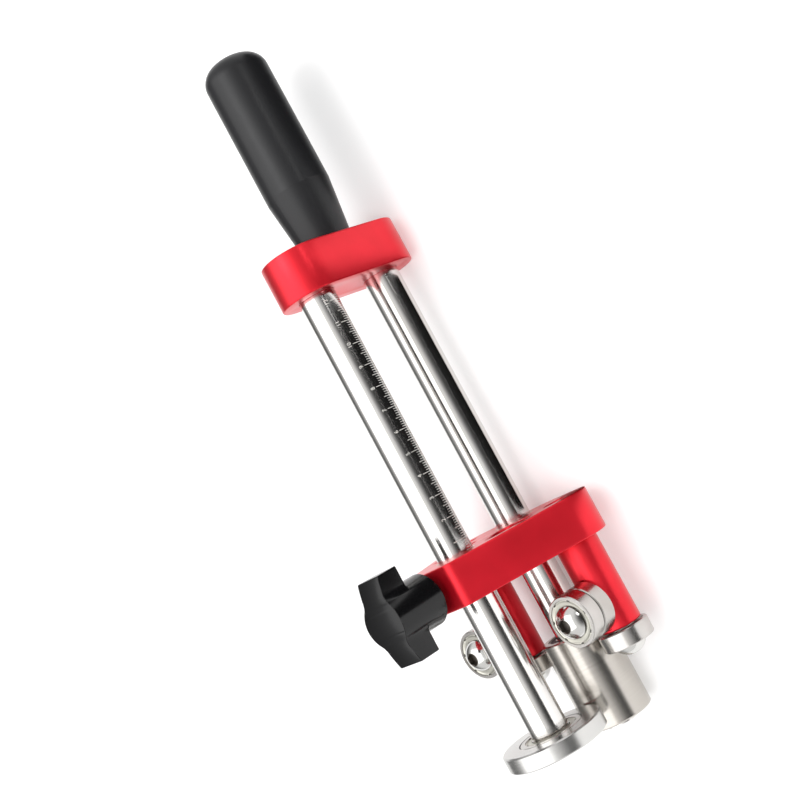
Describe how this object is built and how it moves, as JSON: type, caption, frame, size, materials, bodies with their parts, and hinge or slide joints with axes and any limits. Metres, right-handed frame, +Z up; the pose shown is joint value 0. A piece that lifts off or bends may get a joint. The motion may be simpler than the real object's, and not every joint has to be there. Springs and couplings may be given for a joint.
{
  "type": "sheet metal folder",
  "caption": "Hand tool that folds a sheet's edge between a disc and a roller, set by a clamped sliding carriage with guide bearings.",
  "frame": {"origin": "middle of the carriage plate's flat underside, with the carriage at its rest place near the rolling end", "axes": "+X along the rods from the handle to the rolling end, +Y to the left as seen from the handle, +Z up through both rods to the knob"},
  "size_m": [0.325, 0.087, 0.102],
  "materials": {
    "ground_steel": "ground and polished rods",
    "turned_steel": "finely turned disc and roller",
    "bearing_steel": "polished bearing rings",
    "ball_steel": "polished balls",
    "shield_steel": "pressed sheet shields",
    "screw_steel": "bright stainless screws and washers",
    "black_steel": "black oxide screws and core",
    "circlip_steel": "bright spring steel",
    "red_anodised": "satin red anodised aluminium",
    "bush_bronze": "plain sintered bronze",
    "seal_rubber": "black rubber seals",
    "grip_plastic": "satin black moulded grip",
    "knob_plastic": "gloss black moulded knob"
  },
  "bodies": {
    "root": {"upper_rod": "ground_steel", "lower_rod": "ground_steel", "end_plate": "red_anodised", "handle_grip": "grip_plastic", "handle_core": "black_steel", "rod_end_screws": "black_steel", "disc_inner_ring": "bearing_steel", "disc_screw": "screw_steel", "roller_inner_rings": "bearing_steel", "roller_circlip": "circlip_steel"},
    "disc": {"folding_disc": "turned_steel", "disc_outer_ring": "bearing_steel", "disc_balls": "ball_steel", "disc_shields": "shield_steel"},
    "roller": {"folding_roller": "turned_steel", "roller_outer_rings": "bearing_steel", "roller_balls": "ball_steel", "roller_seals": "seal_rubber"},
    "carriage": {"carriage_plate": "red_anodised", "upper_bush": "bush_bronze", "lower_bush": "bush_bronze", "left_arm": "red_anodised", "right_arm": "red_anodised", "arm_screws": "black_steel", "stack_inner_rings": "bearing_steel", "end_inner_rings": "bearing_steel", "stack_washers": "screw_steel", "end_washers": "screw_steel", "stack_screws": "screw_steel", "end_screws": "screw_steel"},
    "clamp_pad": {"clamp_pad": "bush_bronze"},
    "knob": {"knob_wing": "knob_plastic", "knob_stud": "screw_steel"},
    "left_lower_bearing": {"left_lower_ring": "bearing_steel", "left_lower_balls": "ball_steel", "left_lower_shields": "shield_steel"},
    "left_upper_bearing": {"left_upper_ring": "bearing_steel", "left_upper_balls": "ball_steel", "left_upper_shields": "shield_steel"},
    "left_end_bearing": {"left_end_ring": "bearing_steel", "left_end_balls": "ball_steel", "left_end_shields": "shield_steel"},
    "right_lower_bearing": {"right_lower_ring": "bearing_steel", "right_lower_balls": "ball_steel", "right_lower_shields": "shield_steel"},
    "right_upper_bearing": {"right_upper_ring": "bearing_steel", "right_upper_balls": "ball_steel", "right_upper_shields": "shield_steel"},
    "right_end_bearing": {"right_end_ring": "bearing_steel", "right_end_balls": "ball_steel", "right_end_shields": "shield_steel"}
  },
  "joints": [
    {"name": "carriage_slide", "type": "slide", "parent": "root", "child": "carriage", "axis": [1, 0, 0], "range_m": [-0.1195, 0.024]},
    {"name": "pad_slide", "type": "slide", "parent": "carriage", "child": "clamp_pad", "axis": [0, 0, 1], "range_m": [0, 0.0025]},
    {"name": "knob_turn", "type": "hinge", "parent": "clamp_pad", "child": "knob", "pos_m": [0, 0, 0.08], "axis": [0, 0, 1], "range_deg": [0, 720]},
    {"name": "disc_spin", "type": "hinge", "parent": "root", "child": "disc", "pos_m": [0.074, 0, 0.0535], "axis": [1, 0, 0], "continuous": true},
    {"name": "roller_spin", "type": "hinge", "parent": "root", "child": "roller", "pos_m": [0.0635, 0, 0.0155], "axis": [1, 0, 0], "continuous": true},
    {"name": "left_lower_spin", "type": "hinge", "parent": "carriage", "child": "left_lower_bearing", "pos_m": [0.0345, 0.0295, 0.032], "axis": [0, 0, 1], "continuous": true},
    {"name": "left_upper_spin", "type": "hinge", "parent": "carriage", "child": "left_upper_bearing", "pos_m": [0.0345, 0.0295, 0.0395], "axis": [0, 0, 1], "continuous": true},
    {"name": "left_end_spin", "type": "hinge", "parent": "carriage", "child": "left_end_bearing", "pos_m": [0.051, 0.0295, 0.019], "axis": [1, 0, 0], "continuous": true},
    {"name": "right_lower_spin", "type": "hinge", "parent": "carriage", "child": "right_lower_bearing", "pos_m": [0.0345, -0.0295, 0.032], "axis": [0, 0, 1], "continuous": true},
    {"name": "right_upper_spin", "type": "hinge", "parent": "carriage", "child": "right_upper_bearing", "pos_m": [0.0345, -0.0295, 0.0395], "axis": [0, 0, 1], "continuous": true},
    {"name": "right_end_spin", "type": "hinge", "parent": "carriage", "child": "right_end_bearing", "pos_m": [0.051, -0.0295, 0.019], "axis": [1, 0, 0], "continuous": true}
  ],
  "couplings": [
    {"joint": "knob_turn", "follows": "pad_slide", "rad_per_m": 5026.5}
  ]
}
